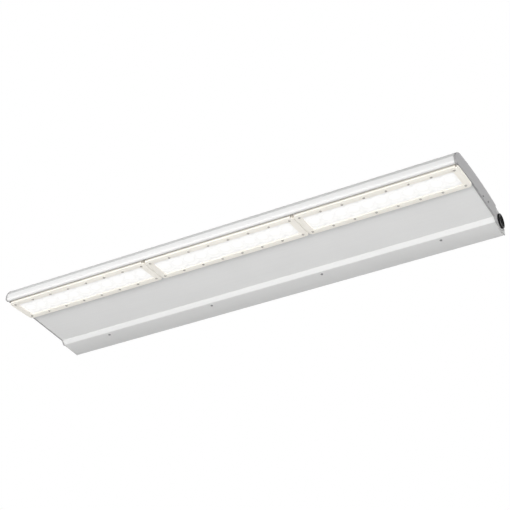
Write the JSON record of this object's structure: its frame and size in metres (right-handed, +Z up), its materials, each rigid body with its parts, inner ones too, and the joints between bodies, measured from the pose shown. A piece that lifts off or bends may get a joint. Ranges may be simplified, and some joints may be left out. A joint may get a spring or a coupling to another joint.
{
  "type": "outdoor linear led light",
  "caption": "Wall-mounted awning-shaped linear light with a crowned aluminium housing, framed LED modules along its rounded nose and a covered driver box with a cable bush.",
  "frame": {"origin": "middle of the wall slots, on the plane of the wall", "axes": "+X along the light towards the cable bush, +Y into the wall, +Z up"},
  "size_m": [1.2073, 0.3065, 0.0577],
  "materials": {
    "housing": "satin silver-grey coat",
    "cover": "satin silver-grey coat",
    "end_cap": "fine matt darker grey coat",
    "end_plate": "satin grey coat",
    "seal_rubber": "matt",
    "seal_silicone": "pale, matt",
    "bush_rubber": "matt",
    "frame_plastic": "matt cream",
    "lens": "clear, lit from behind",
    "base_metal": "plain",
    "board": "white",
    "led": "lit",
    "frame_screw": "satin",
    "screw_steel": "satin",
    "cap_screw": "blackened",
    "driver_case": "satin",
    "terminal_plastic": "matt",
    "terminal_brass": "plain",
    "lead_sheath": "matt"
  },
  "bodies": {
    "root": {"body_extrusion": "housing", "driver_cover": "cover", "end_cap_left": "end_cap", "end_cap_right": "end_cap", "box_end_plate_left": "end_plate", "box_end_plate_right": "end_plate", "box_end_plate_screws": "end_plate", "driver_cover_seal": "seal_rubber", "end_gasket_left": "seal_silicone", "end_gasket_right": "seal_silicone", "module_seal_1": "seal_silicone", "module_seal_2": "seal_silicone", "module_seal_3": "seal_silicone", "cable_bush": "bush_rubber", "module_frame_1": "frame_plastic", "module_frame_2": "frame_plastic", "module_frame_3": "frame_plastic", "module_lens_1": "lens", "module_lens_2": "lens", "module_lens_3": "lens", "module_base_1": "base_metal", "module_base_2": "base_metal", "module_base_3": "base_metal", "module_board_1": "board", "module_board_2": "board", "module_board_3": "board", "module_leds_1": "led", "module_leds_2": "led", "module_leds_3": "led", "module_screws_1": "frame_screw", "module_screws_2": "frame_screw", "module_screws_3": "frame_screw", "driver_cover_screws": "screw_steel", "module_fixing_screws": "screw_steel", "driver_box_screws": "screw_steel", "earth_screw": "screw_steel", "end_cap_screws": "cap_screw", "led_driver_1": "driver_case", "led_driver_2": "driver_case", "led_driver_3": "driver_case", "terminal_block": "terminal_plastic", "terminal_screws": "terminal_brass", "module_lead_1": "lead_sheath", "mains_lead_1": "lead_sheath", "module_lead_2": "lead_sheath", "mains_lead_2": "lead_sheath", "module_lead_3": "lead_sheath", "mains_lead_3": "lead_sheath"}
  },
  "joints": []
}
